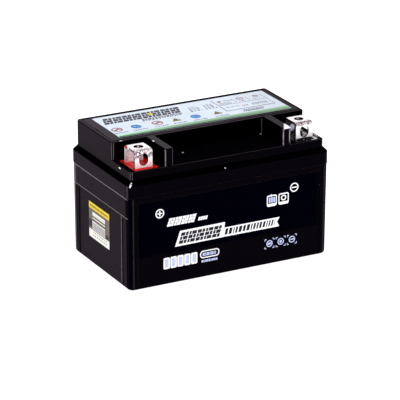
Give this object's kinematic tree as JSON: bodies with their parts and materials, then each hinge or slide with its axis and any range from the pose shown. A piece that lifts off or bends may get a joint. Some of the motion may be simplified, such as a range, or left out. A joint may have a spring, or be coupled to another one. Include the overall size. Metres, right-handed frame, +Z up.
{
  "type": "motorcycle battery",
  "caption": "Sealed box-shaped motorcycle battery with a stepped lid, two bracket terminals in front recesses, labels, and lead cells and relief valve caps inside.",
  "frame": {"origin": "centre of the underside", "axes": "+X along the length towards the negative terminal, -Y to the terminal side, +Z up"},
  "size_m": [0.15, 0.087, 0.094],
  "materials": {
    "case_plastic": "black moulded plastic, satin",
    "lid_plastic": "black moulded plastic, satin",
    "cover_plastic": "black moulded plastic, satin",
    "top_label_film": "printed film, pale blue white with a green stripe",
    "side_label_film": "printed film, brown, yellow and cream",
    "tinned_metal": "bright tin plating",
    "red_resin": "glossy cast resin",
    "black_resin": "glossy cast resin",
    "lead": "dull cast lead",
    "positive_plate": "dark brown lead dioxide paste",
    "negative_plate": "grey sponge lead",
    "glass_mat": "white glass fibre mat",
    "rubber": "black rubber"
  },
  "bodies": {
    "case": {"container": "case_plastic", "lid": "lid_plastic", "valve_cover": "cover_plastic", "top_label": "top_label_film", "side_label": "side_label_film", "positive_terminal": "tinned_metal", "negative_terminal": "tinned_metal", "positive_terminal_seal": "red_resin", "negative_terminal_seal": "black_resin", "positive_terminal_post": "lead", "negative_terminal_post": "lead", "positive_post_ring": "rubber", "negative_post_ring": "rubber", "cell_1_positive_plates": "positive_plate", "cell_1_negative_plates": "negative_plate", "cell_1_separators": "glass_mat", "cell_1_positive_strap": "lead", "cell_1_negative_strap": "lead", "cell_2_positive_plates": "positive_plate", "cell_2_negative_plates": "negative_plate", "cell_2_separators": "glass_mat", "cell_2_positive_strap": "lead", "cell_2_negative_strap": "lead", "cell_3_positive_plates": "positive_plate", "cell_3_negative_plates": "negative_plate", "cell_3_separators": "glass_mat", "cell_3_positive_strap": "lead", "cell_3_negative_strap": "lead", "cell_4_positive_plates": "positive_plate", "cell_4_negative_plates": "negative_plate", "cell_4_separators": "glass_mat", "cell_4_positive_strap": "lead", "cell_4_negative_strap": "lead", "cell_5_positive_plates": "positive_plate", "cell_5_negative_plates": "negative_plate", "cell_5_separators": "glass_mat", "cell_5_positive_strap": "lead", "cell_5_negative_strap": "lead", "cell_6_positive_plates": "positive_plate", "cell_6_negative_plates": "negative_plate", "cell_6_separators": "glass_mat", "cell_6_positive_strap": "lead", "cell_6_negative_strap": "lead", "intercell_weld_1": "lead", "intercell_weld_2": "lead", "intercell_weld_3": "lead", "intercell_weld_4": "lead", "intercell_weld_5": "lead"},
    "valve_cap_1": {"valve_cap_1": "rubber"},
    "valve_cap_2": {"valve_cap_2": "rubber"},
    "valve_cap_3": {"valve_cap_3": "rubber"},
    "valve_cap_4": {"valve_cap_4": "rubber"},
    "valve_cap_5": {"valve_cap_5": "rubber"},
    "valve_cap_6": {"valve_cap_6": "rubber"}
  },
  "joints": [
    {"name": "valve_cap_1_lift", "type": "slide", "parent": "case", "child": "valve_cap_1", "axis": [0, 0, 1], "range_m": [0, 0.00035], "stiffness_N_per_m": 200, "springref_m": -0.002},
    {"name": "valve_cap_2_lift", "type": "slide", "parent": "case", "child": "valve_cap_2", "axis": [0, 0, 1], "range_m": [0, 0.00035], "stiffness_N_per_m": 200, "springref_m": -0.002},
    {"name": "valve_cap_3_lift", "type": "slide", "parent": "case", "child": "valve_cap_3", "axis": [0, 0, 1], "range_m": [0, 0.00035], "stiffness_N_per_m": 200, "springref_m": -0.002},
    {"name": "valve_cap_4_lift", "type": "slide", "parent": "case", "child": "valve_cap_4", "axis": [0, 0, 1], "range_m": [0, 0.00035], "stiffness_N_per_m": 200, "springref_m": -0.002},
    {"name": "valve_cap_5_lift", "type": "slide", "parent": "case", "child": "valve_cap_5", "axis": [0, 0, 1], "range_m": [0, 0.00035], "stiffness_N_per_m": 200, "springref_m": -0.002},
    {"name": "valve_cap_6_lift", "type": "slide", "parent": "case", "child": "valve_cap_6", "axis": [0, 0, 1], "range_m": [0, 0.00035], "stiffness_N_per_m": 200, "springref_m": -0.002}
  ]
}
